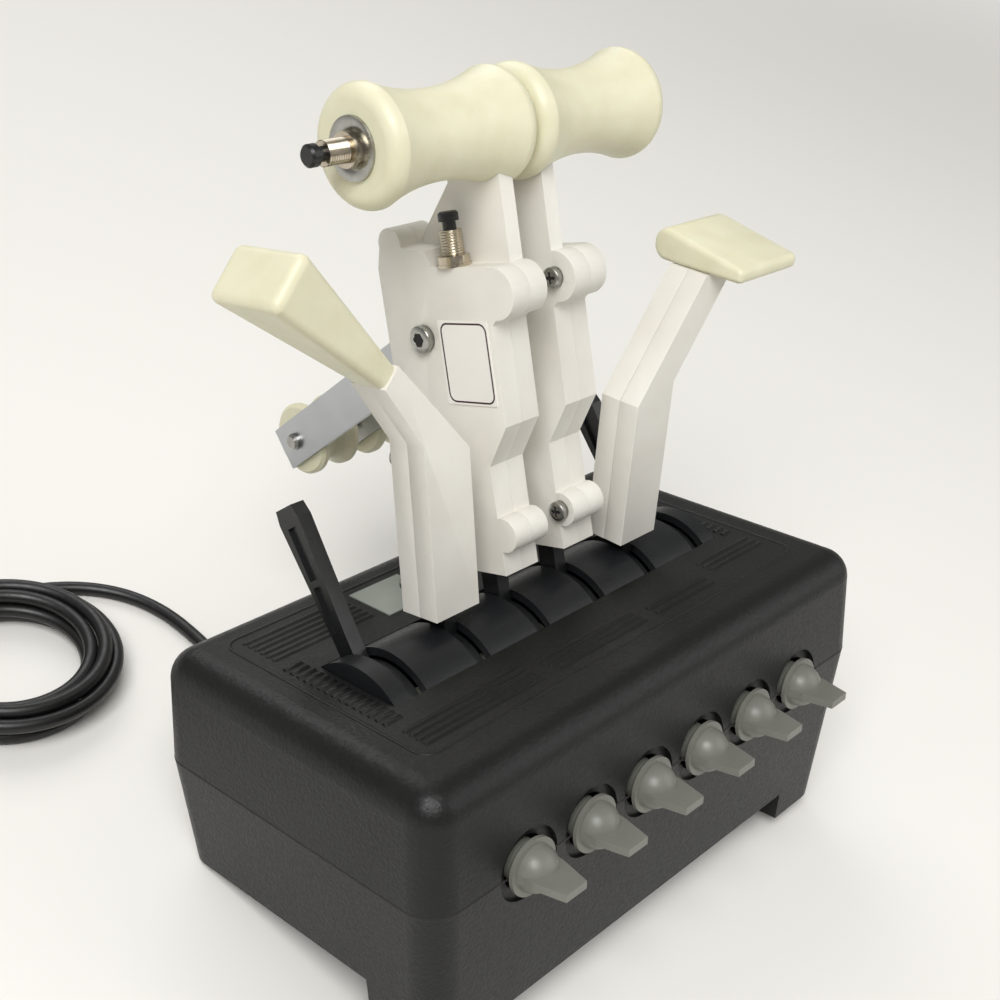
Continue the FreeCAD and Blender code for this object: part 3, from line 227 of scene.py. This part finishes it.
# Natural nylon tube: milky off-white.
NYLON = Finish("natural_nylon", "cfcab9", "c6c1b0", 0.45, Grain.POLISHED, 3.0, 0.01)
# Phenolic sensor bodies: dark blue-black.
SENSOR = Finish("phenolic_sensor_body", "26313f", "202a36", 0.45, Grain.SPARKED, 2.0, 0.01)
# PVC jacket: smooth black with a soft sheen.
PVC = Finish("black_pvc_jacket", "141414", "0f0f0f", 0.40, Grain.POLISHED, 2.0, 0.01)
# Painted shade: a dark matt colour for the shade inside screw drives and along the case's parting
# line.
PAINTED_SHADE = Finish("painted_shade_dark_matt", "1c1b1a", "151413", 0.7, Grain.POLISHED, 2.0, 0.01)

SLOT_FINISHES = {
    "case_plastic": CASE_ABS, "dark_plastic": BLACK_ABS, "paddle_grey": PADDLE_ABS,
    "printed_white": WHITE_NYLON, "printed_cream": CREAM_RESIN, "zinc_steel": ZINC,
    "nickel": NICKEL, "bar_aluminium": BAR, "steel_sheet": SHEET, "label_film": FILM,
    "panel_badge": BADGE, "board": BOARD, "sleeve": NYLON, "sensor_body": SENSOR,
    "cable_rubber": PVC,
}
BUILT: dict[str, bpy.types.Material] = {}


def material_of(finish: Finish) -> bpy.types.Material:
    """Return a finish's material, built once."""
    if finish.name not in BUILT:
        BUILT[finish.name] = finish.build()
    return BUILT[finish.name]


def grid_piece(name: str, points: np.ndarray, finish: Finish, body: str,
               place: Matrix, wrap: bool = False, cap: bool = False) -> bpy.types.Object:
    """Turn a grid of points into a smooth piece that rides on a body.

    Args:
        name: Piece name.
        points: Array (rows, columns, 3) in the place's millimetres.
        finish: Surface finish.
        body: Body it rides on.
        place: Matrix to row millimetres.
        wrap: Whether the last column joins the first.
        cap: Whether the first and last rows are closed with one face each.

    Returns:
        The new object.
    """
    rows, columns = points.shape[:2]
    turn = np.array(place.to_3x3())
    flat = (points.reshape(-1, 3) @ turn.T + np.array(place.translation)) * MM
    index = np.arange(rows * columns).reshape(rows, columns)
    ahead = np.roll(index, -1, axis=1)
    last = columns if wrap else columns - 1
    quads = np.stack([index[:-1, :last], ahead[:-1, :last], ahead[1:, :last],
                      index[1:, :last]], axis=-1).reshape(-1, 4)
    faces = [tuple(int(v) for v in quad) for quad in quads]
    if cap:
        faces.append(tuple(int(v) for v in index[0][::-1]))
        faces.append(tuple(int(v) for v in index[-1]))
    mesh = bpy.data.meshes.new(name)
    mesh.from_pydata(flat.tolist(), [], faces)
    piece = bpy.data.objects.new(name, mesh)
    bpy.context.scene.collection.objects.link(piece)
    weld(mesh)
    mesh.materials.append(material_of(finish))
    mesh.polygons.foreach_set("use_smooth", [True] * len(mesh.polygons))
    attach(piece, body)
    LOG.info("%s: %d faces on %s", name, len(mesh.polygons), body)
    return piece


def weld(mesh: bpy.types.Mesh) -> None:
    """Merge a mesh's doubled points and turn its faces outwards."""
    work = bmesh.new()
    work.from_mesh(mesh)
    bmesh.ops.remove_doubles(work, verts=work.verts, dist=MERGE)
    bmesh.ops.recalc_face_normals(work, faces=work.faces)
    work.to_mesh(mesh)
    work.free()


def softened(node: str, body: str, finish: Finish, width: float) -> bpy.types.Object:
    """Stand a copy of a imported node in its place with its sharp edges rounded.

    Args:
        node: Node name.
        body: Body it rides on.
        finish: Surface finish.
        width: Edge rounding in mm.

    Returns:
        The new object.
    """
    source = frame["nodes"][node]
    mesh = source.data.copy()
    mesh.name = node + "_soft"
    work = bmesh.new()
    work.from_mesh(mesh)
    bmesh.ops.remove_doubles(work, verts=work.verts, dist=NODE_MERGE)
    bmesh.ops.dissolve_limit(work, angle_limit=FLAT_ANGLE, verts=work.verts, edges=work.edges)
    work.to_mesh(mesh)
    work.free()
    mesh.materials.clear()
    mesh.materials.append(material_of(finish))
    mesh.polygons.foreach_set("use_smooth", [True] * len(mesh.polygons))
    piece = bpy.data.objects.new(node + "_soft", mesh)
    bpy.context.scene.collection.objects.link(piece)
    bevel = piece.modifiers.new("edge_rounding", "BEVEL")
    bevel.width = width * MM
    bevel.segments = 3
    bevel.limit_method = "ANGLE"
    bevel.angle_limit = SHARP_ANGLE
    bevel.use_clamp_overlap = True
    bevel.harden_normals = True
    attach(piece, body)
    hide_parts(node)
    LOG.info("%s rounded by %.1f mm", node, width)
    return piece


@dataclass
class CableRun:
    """USB cable: out of the rear, along the table, into a tied ring and on to its plug."""

    radius: float = 2.4
    length: float = 1.21
    exit_point: tuple[float, float, float] = (-39.68, 35.86, 13.15)
    centre: tuple[float, float] = (-100.0, 112.16)
    ring: float = 31.0
    ring_height: float = 7.5
    strand: float = 5.0
    turns: float = 5.25
    per_turn: int = 16

    def coil(self) -> np.ndarray:
        """Return the coil's points, in mm.

        A point goes round the ring by theta. The strand sits on a small circle about
        the ring's middle line, and goes round that by a sixth of a turn per turn.
        """
        count = int(self.turns * self.per_turn)
        theta = np.radians(90.0) + np.arange(count + 1) / self.per_turn * 2 * math.pi
        inner = np.radians(-60.0) - (theta - theta[0]) / 6.0
        away = self.ring + self.strand * np.cos(inner)
        height = self.ring_height + self.strand * np.sin(inner)
        return np.stack([self.centre[0] + away * np.cos(theta),
                         self.centre[1] + away * np.sin(theta), height], axis=-1)

    def route(self) -> np.ndarray:
        """Return the cable's control points, in mm."""
        ahead = np.array([self.exit_point, (-39.68, 49.35, 9.40), (-39.2, 63.66, 4.6),
                          (-38.5, 78.16, 2.45), (-37.8, 94.16, 2.45), (-39.2, 110.16, 2.45),
                          (-45.0, 124.66, 2.45), (-56.0, 136.2, 2.45), (-70.5, 143.6, 2.45),
                          (-85.0, 146.2, 2.5)])
        tail = np.array([(-136.6, 99.0, 5.0), (-139.0, 80.6, 3.2), (-149.5, 64.16, 2.8),
                         (-167.0, 56.66, 4.0)])
        return np.concatenate([ahead, self.coil(), tail])

    def build(self) -> bpy.types.Object:
        points = self.route() * MM
        curve = bpy.data.curves.new("cable_run", "CURVE")
        curve.dimensions = "3D"
        spline = curve.splines.new("NURBS")
        spline.points.add(len(points) - 1)
        spline.points.foreach_set("co", np.column_stack([points, np.ones(len(points))]).ravel())
        spline.order_u = 3
        spline.use_endpoint_u = True
        spline.resolution_u = 6
        curve.bevel_depth = self.radius * MM
        curve.bevel_resolution = 4
        curve.use_fill_caps = True
        curve.materials.append(material_of(PVC))
        piece = bpy.data.objects.new("cable_run", curve)
        bpy.context.scene.collection.objects.link(piece)
        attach(piece, "case")
        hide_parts("cable", "cable_coil")
        LOG.info("cable: %d points", len(points))
        return piece


@dataclass
class CaseTop:
    """Fine ribs and the engraved outline on the case's top, in case millimetres."""

    height: float = 69.9
    pitch: float = 2.9
    rib: float = 0.55
    outline: tuple[float, float, float, float] = (-84.0, 84.0, -39.6, 43.5)
    corner: float = 5.0
    line: float = 0.6
    blocks: tuple[tuple[float, float, float, float], ...] = (
        (-80.0, -42.0, 24.5, 40.5), (-16.0, 34.0, 27.0, 40.5), (39.0, 80.0, 24.5, 40.5),
        (-80.0, -34.0, -36.0, -25.5), (-29.0, 12.0, -36.0, -28.0), (17.0, 46.0, -36.0, -29.5),
        (-81.0, -74.6, -22.0, 21.0), (52.0, 80.0, -30.5, -22.5), (76.0, 80.0, -18.0, 21.0))
    sink: float = 0.08
    bead: float = 0.34

    def rib_block(self, number: int, edges: tuple[float, float, float, float]) -> bpy.types.Object:
        """Build one block of ribs.

        Height is half a cosine wave across the ribs, faded to below the top at the
        block's edges.

        Args:
            number: Block number, for its name.
            edges: Low and high X, then low and high Y.

        Returns:
            The new object.
        """
        low_x, high_x, low_y, high_y = edges
        waves = max(1, round((high_y - low_y) / self.pitch))
        across = np.linspace(0, 1, waves * 8 + 1)
        along = np.array([0.0, 0.006, 0.02, 0.98, 0.994, 1.0])
        fade = np.array([-0.25, 0.6, 1.0, 1.0, 0.6, -0.25])
        u, v = np.meshgrid(along, across)
        wave = 0.5 - 0.5 * np.cos(2 * math.pi * waves * v)
        fades = np.tile(fade, (len(across), 1))
        rise = (wave * (self.rib + self.sink) - self.sink) * np.clip(fades, 0, 1)
        rise = np.where(fades < 0, -0.1, rise)
        points = np.stack([low_x + u * (high_x - low_x), low_y + v * (high_y - low_y),
                           self.height + rise], axis=-1)
        return grid_piece("top_ribs_%d" % number, points, CASE_ABS, "case",
                          standing())

    def outline_line(self) -> bpy.types.Object:
        """Build the outline: a low half-round bead carried round a rounded rectangle."""
        path = rounded_path(self.outline, self.corner, 10)
        side = outward(path)
        angle = np.linspace(0, math.pi, 7)
        reach = np.cos(angle) * self.line
        rise = np.sin(angle) * self.bead - 0.04
        flat = path[None, :, :] + reach[:, None, None] * side[None, :, :]
        up = np.broadcast_to(self.height + rise[:, None, None], flat.shape[:2] + (1,))
        return grid_piece("top_outline", np.concatenate([flat, up], axis=-1), CASE_ABS, "case",
                          standing(), wrap=True)

    def build(self) -> None:
        """Build every block, the outline and the seam's painted shade."""
        for number, edges in enumerate(self.blocks, 1):
            self.rib_block(number, edges)
        self.outline_line()
        PaintedSeamShade().build()


@dataclass
class PaintedSeamShade:
    """Painted shade along the parting line between the case's halves, in case millimetres: the line
    is real, and its dark matt strip stands in for the shade in the gap.
    """

    level: float = 35.1
    outline: tuple[float, float, float, float] = (-99.2, 99.2, -56.5, 56.5)
    corner: float = 9.5
    tall: float = 0.42
    proud: float = 0.07

    def build(self) -> bpy.types.Object:
        """Build the line of painted shade: a low lens section carried round the case's outline."""
        path = rounded_path(self.outline, self.corner, 12)
        side = outward(path)
        angle = np.linspace(0, 2 * math.pi, 8, endpoint=False)
        out = np.cos(angle) * self.proud
        up = np.sin(angle) * self.tall
        flat = path[None, :, :] + out[:, None, None] * side[None, :, :]
        level = np.broadcast_to(self.level + up[:, None, None], flat.shape[:2] + (1,))
        points = np.concatenate([flat, level], axis=-1)
        points = np.concatenate([points, points[:1]])
        # Painted shade: the strip's dark matt finish stands in for the shade in the seam's gap.
        return grid_piece("case_parting_line_painted_shade", points, PAINTED_SHADE, "case",
                          standing(), wrap=True)


def rounded_path(edges: Sequence[float], corner: float, steps: int) -> np.ndarray:
    """Return a closed rounded rectangle as points, counter-clockwise.

    Args:
        edges: Low and high in the first direction, then in the second.
        corner: Corner radius.
        steps: Points in each corner.

    Returns:
        Array (4 * steps, 2).
    """
    low_u, high_u, low_v, high_v = edges
    middles = np.array([(high_u - corner, high_v - corner), (low_u + corner, high_v - corner),
                        (low_u + corner, low_v + corner), (high_u - corner, low_v + corner)])
    angle = np.linspace(0, math.pi / 2, steps)[None, :] + np.arange(4)[:, None] * math.pi / 2
    spots = middles[:, None, :] + corner * np.stack([np.cos(angle), np.sin(angle)], axis=-1)
    return spots.reshape(-1, 2)


def outward(path: np.ndarray) -> np.ndarray:
    """Return the outward direction at each point of a closed flat path.

    It is the chord from the point before to the point after, turned a quarter clockwise.

    Args:
        path: Array (points, 2), counter-clockwise.

    Returns:
        Array (points, 2) of unit length.
    """
    ahead = np.roll(path, -1, axis=0) - np.roll(path, 1, axis=0)
    ahead /= np.linalg.norm(ahead, axis=1)[:, None]
    return np.stack([ahead[:, 1], -ahead[:, 0]], axis=-1)


class Drive(Enum):
    """The recess in a screw's head."""

    CROSS = "cross"
    HEX = "hexagon socket"


@dataclass
class ScrewHead:
    """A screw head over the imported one, in its own frame: +Z outwards, mm."""

    name: str
    radius: float
    height: float
    drive: Drive
    depth: float = 0.34

    def build(self, place: Matrix, body: str) -> bpy.types.Object:
        """Build the head.

        The height over the seat is a flattened dome of the distance r from the middle,
        less the depth of the recess where the point lies inside the drive's outline.

        Args:
            place: Matrix from the head's frame to row millimetres.
            body: Body it rides on.

        Returns:
            The new object.
        """
        angle = np.linspace(0, 2 * math.pi, 72, endpoint=False)
        share = np.concatenate([[0.002], np.linspace(0.05, 0.7, 18), np.linspace(0.78, 1.0, 8)])
        u, v = np.meshgrid(angle, share)
        dome = self.height * (1 - 0.2 * v ** 4)
        x, y = v * np.cos(u) * self.radius, v * np.sin(u) * self.radius
        top = dome - self.drive_depth(x, y) * self.depth
        crown = np.stack([x, y, top + 0.06], axis=-1)
        low = [np.stack([x[-1] * 1.03, y[-1] * 1.03, np.full(len(angle), level)], axis=-1)
               for level in (self.height * 0.72, 0.02)]
        head = grid_piece(self.name, np.concatenate([crown, np.array(low)]), ZINC, body,
                          place, wrap=True, cap=True)
        # Painted shade: the faces inside the drive are coloured dark to stand in for the shade in
        # the recess.
        self.paint_drive_shade(head, place)
        return head

    def paint_drive_shade(self, head: bpy.types.Object, place: Matrix) -> None:
        """Paint shade on the faces inside the drive with the dark matt finish.

        A face is inside where its middle lies within the drive's outline.

        Args:
            head: The head's object.
            place: Matrix from the head's frame to row millimetres.
        """
        mesh = head.data
        middles = np.empty(len(mesh.polygons) * 3)
        mesh.polygons.foreach_get("center", middles)
        back = place.inverted()
        local = middles.reshape(-1, 3) / MM @ np.array(back.to_3x3()).T + np.array(back.translation)
        inside = self.drive_depth(local[:, 0], local[:, 1]) > 0.3
        # Painted shade: faces inside the drive take the dark matt finish.
        mesh.materials.append(material_of(PAINTED_SHADE))
        mesh.polygons.foreach_set("material_index", inside.astype(np.int32))

    def drive_depth(self, x: np.ndarray, y: np.ndarray) -> np.ndarray:
        """Return the drive's depth at each point, as a share from 0 to 1."""
        away = np.hypot(x, y) / self.radius
        if self.drive is Drive.CROSS:
            arm = np.minimum(np.abs(x), np.abs(y)) / self.radius
            return np.clip((0.17 - arm) / 0.05, 0, 1) * np.clip((0.62 - away) / 0.08, 0, 1)
        turn = (np.arctan2(y, x) + math.pi / 6) % (math.pi / 3) - math.pi / 6
        return np.clip((0.5 - away * np.cos(turn)) / 0.05, 0, 1)


@dataclass
class BushThread:
    """The thread on a push button's bush, in its own frame: +Z outwards, mm."""

    name: str
    radius: float = 3.1
    low: float = 3.05
    high: float = 9.95
    pitch: float = 0.75

    def build(self, place: Matrix, body: str) -> bpy.types.Object:
        """Build the thread: the radius is a rounded saw of height over pitch less angle."""
        angle = np.linspace(0, 2 * math.pi, 40, endpoint=False)
        height = np.linspace(self.low, self.high, 74)
        u, v = np.meshgrid(angle, height)
        wave = 0.5 + 0.5 * np.cos(2 * math.pi * (v / self.pitch) - u)
        away = self.radius + 0.02 + 0.22 * wave
        points = np.stack([away * np.cos(u), away * np.sin(u), v], axis=-1)
        return grid_piece(self.name, points, NICKEL, body, place, wrap=True, cap=True)


@dataclass
class Throttle:
    """One throttle lever's fine pieces, in lever millimetres."""

    side: int
    place: int
    lean: float = LEVER_LEAN
    half: float = 6.85
    boss: tuple[float, float] = (-22.0, 112.2)
    lower: tuple[float, float] = (-12.8, 42.5)
    pivot: tuple[float, float] = (7.5, 99.5)
    shelf: tuple[float, float] = (-5.3, 119.5)
    knob: tuple[float, float] = (-14.5, 155.5)
    knob_end: float = 41.3
    washer: tuple[float, float, float] = (3.4, 8.25, 0.86)
    rounding: float = 0.8
    pan_head: tuple[float, float] = (2.9, 2.6)
    pivot_head: tuple[float, float] = (3.9, 2.8)

    @property
    def name(self) -> str:
        """Body name."""
        return "left_throttle" if self.side < 0 else "right_throttle"

    def facing(self, way: int, back: float, up: float, off: float) -> Matrix:
        """Return the matrix of a piece that faces along the axle.

        Args:
            way: -1 or +1 along X.
            back: Lever millimetres away from the user.
            up: Lever millimetres up.
            off: Distance from the lever's middle plane.

        Returns:
            Matrix to row millimetres.
        """
        spin = Matrix.Rotation(way * math.pi / 2, 4, "Y")
        move = Matrix.Translation((way * off, back, up))
        return lever_matrix(self.place, self.lean) @ move @ spin

    def washer_ring(self) -> bpy.types.Object:
        """Build the zinc washer's face: a flat ring with rounded rims, spun round the bush."""
        inner, outer, thick = self.washer
        profile = np.array([(inner, 0.0), (inner, thick), (outer - 0.3, thick),
                            (outer - 0.08, thick - 0.08), (outer, thick - 0.3), (outer, 0.02)])
        angle = np.linspace(0, 2 * math.pi, 64, endpoint=False)
        points = np.stack([profile[:, :1] * np.cos(angle), profile[:, :1] * np.sin(angle),
                           np.repeat(profile[:, 1:], 64, axis=1)], axis=-1)
        return grid_piece(self.name + "_washer", points, ZINC, self.name,
                          self.facing(self.side, *self.knob, self.knob_end), wrap=True)

    def build(self) -> None:
        """Round the plates and add heads, threads and the washer."""
        self.washer_ring()
        for part in ("outer_plate", "inner_plate"):
            softened("%s_%s" % (self.name, part), self.name, WHITE_NYLON,
                     self.rounding)
        for part, spot in (("_boss_screw_head", self.boss), ("_lower_screw_head", self.lower)):
            ScrewHead(self.name + part, *self.pan_head, Drive.CROSS).build(
                self.facing(-self.side, *spot, self.half), self.name)
        ScrewHead(self.name + "_pivot_head", *self.pivot_head, Drive.HEX).build(
            self.facing(self.side, *self.pivot, self.half), self.name)
        BushThread(self.name + "_knob_thread").build(
            self.facing(self.side, *self.knob, self.knob_end), self.name)
        upright = lever_matrix(self.place, self.lean) @ Matrix.Translation(
            (self.side * self.half / 2, *self.shelf))
        BushThread(self.name + "_shelf_thread").build(upright, self.name)


@dataclass
class Label:
    """The bare label's printed border, in the left throttle's millimetres."""

    face: float = 7.15
    edges: tuple[float, float, float, float] = (-17.6, 0.4, 81.4, 104.2)
    corner: float = 2.6
    line: float = 0.5
    ink: float = 0.04
    sunk: float = 0.05

    def build(self) -> None:
        """Build the border as a flat ring between two rounded rectangles."""
        inner = (self.edges[0] + self.line, self.edges[1] - self.line,
                 self.edges[2] + self.line, self.edges[3] - self.line)
        outer_ring = rounded_path(self.edges, self.corner, 8)
        inner_ring = rounded_path(inner, self.corner - self.line, 8)
        rings = (outer_ring, outer_ring, inner_ring, inner_ring)
        low, high = self.face - self.sunk, self.face + self.ink
        depth = (low, high, high, low)
        points = np.stack([np.column_stack([np.full(len(ring), -off), ring])
                           for ring, off in zip(rings, depth)])
        grid_piece("label_border", points, INK, "left_throttle",
                   lever_matrix(2, LEVER_LEAN), wrap=True)


@dataclass
class SideLever:
    """The speed brake's or the flap lever's softened shells."""

    name: str
    rounding: float = 0.8
    knob_rounding: float = 1.8

    def build(self) -> None:
        """Round the two shells, and the flap lever's knob."""
        for part in ("front_shell", "rear_shell"):
            softened("%s_%s" % (self.name, part), self.name + "_lever",
                     WHITE_NYLON, self.rounding)
        if self.name == "flap":
            softened("flap_knob", "flap_lever", CREAM_RESIN,
                     self.knob_rounding)


def dress_nodes() -> None:
    """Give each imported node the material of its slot."""
    special = {"drum_cover": BARREL_ABS}
    for entry in frame["record"]["subparts"]:
        node = frame["nodes"][entry["node"]]
        finish = special.get(entry["node"], SLOT_FINISHES[entry["material_slot"]])
        for slot in node.material_slots:
            slot.material = material_of(finish)


def build_camera() -> None:
    """Place the camera: rows are its right, its down and its forward direction."""
    right = Vector((0.681654, -0.703019, 0.202760))
    down = Vector((-0.290927, -0.514693, -0.806506))
    ahead = Vector((0.671349, 0.490770, -0.555370))
    camera = bpy.data.objects.new("camera", bpy.data.cameras.new("camera"))
    turn = Matrix((right, -down, -ahead)).transposed().to_4x4()
    spot = Vector((-297.06, -211.50, 350.23)) * MM
    camera.matrix_world = Matrix.Translation(spot) @ turn
    camera.data.lens = 52.517
    camera.data.sensor_width = 36.0
    camera.data.clip_start = 0.01
    bpy.context.scene.collection.objects.link(camera)
    bpy.context.scene.camera = camera


def pale_beyond(tree: bpy.types.NodeTree, near: bpy.types.NodeSocket) -> bpy.types.NodeSocket:
    """Fade the floor into the backdrop's plain pale colour, seen by the camera only.

    The fade is a ramp over the distance from the origin, times the camera's ray mark, so the
    floor near the object keeps its shadow and lights nothing more than paper does.

    Args:
        tree: The floor material's nodes.
        near: The shader of the floor near the object.

    Returns:
        The shader of the whole floor.
    """
    place = add_node(tree, "TexCoord").outputs["Object"]
    away = add_node(tree, "VectorMath", {"operation": "LENGTH"}, {0: place})
    ramp = add_node(tree, "MapRange", {"interpolation_type": "SMOOTHSTEP", "From Min": FADE[0],
                                       "From Max": FADE[1]}, {"Value": away.outputs["Value"]})
    rays = add_node(tree, "LightPath")
    share = add_node(tree, "Math", {"operation": "MULTIPLY"},
                     {0: ramp.outputs["Result"], 1: rays.outputs["Is Camera Ray"]})
    glow = add_node(tree, "Emission", {"Color": linear(BACKDROP), "Strength": 1.0})
    return add_node(tree, "MixShader", None,
                    {0: share.outputs[0], 1: near, 2: glow.outputs[0]}).outputs[0]


def build_studio() -> None:
    """Build the floor, the lamps and the world."""
    size = 12.0
    mesh = bpy.data.meshes.new("floor")
    mesh.from_pydata([(-size, -size, 0), (size, -size, 0), (size, size, 0), (-size, size, 0)],
                     [], [(0, 1, 2, 3)])
    floor = bpy.data.objects.new("floor", mesh)
    bpy.context.scene.collection.objects.link(floor)
    paint = bpy.data.materials.new("matt_pale_paper")
    paint.use_nodes = True
    shader = paint.node_tree.nodes["Principled BSDF"]
    shader.inputs["Base Color"].default_value = linear("e9e7e2")
    shader.inputs["Roughness"].default_value = 0.8
    tree = paint.node_tree
    tree.links.new(pale_beyond(tree, shader.outputs["BSDF"]),
                   tree.nodes["Material Output"].inputs["Surface"])
    mesh.materials.append(paint)
    world = bpy.data.worlds.new("studio")
    world.use_nodes = True
    tree = world.node_tree
    light = tree.nodes["Background"]
    light.inputs["Color"].default_value = linear(BACKDROP)
    light.inputs["Strength"].default_value = 0.30
    seen = add_node(tree, "Background", {"Color": linear(BACKDROP), "Strength": 1.0})
    mixed = add_node(tree, "MixShader", None, {
        0: add_node(tree, "LightPath").outputs["Is Camera Ray"],
        1: light.outputs[0], 2: seen.outputs[0]})
    tree.links.new(mixed.outputs[0], tree.nodes["World Output"].inputs["Surface"])
    bpy.context.scene.world = world
    lamps = (("key", (-0.75, -0.35, 1.25), 0.8, 19.0), ("fill", (0.9, -0.9, 0.9), 1.2, 6.0),
             ("rear", (0.3, 1.1, 1.1), 1.0, 7.0))
    for name, spot, width, power in lamps:
        data = bpy.data.lights.new(name, "AREA")
        data.size = width
        data.energy = power
        lamp = bpy.data.objects.new(name, data)
        lamp.location = spot
        aim = Vector((0, 0, 0.1)) - lamp.location
        lamp.rotation_euler = aim.to_track_quat("-Z", "Y").to_euler()
        bpy.context.scene.collection.objects.link(lamp)
    bpy.context.scene.view_settings.view_transform = "Standard"


def main() -> None:
    """Build the whole scene."""
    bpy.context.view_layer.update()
    build_camera()
    CableRun().build()
    dress_nodes()
    CaseTop().build()
    for side, place in ((-1, 2), (1, 3)):
        Throttle(side, place).build()
    Label().build()
    for name in ("speed_brake", "flap"):
        SideLever(name).build()
    build_studio()


if __name__ == "__main__":
    main()
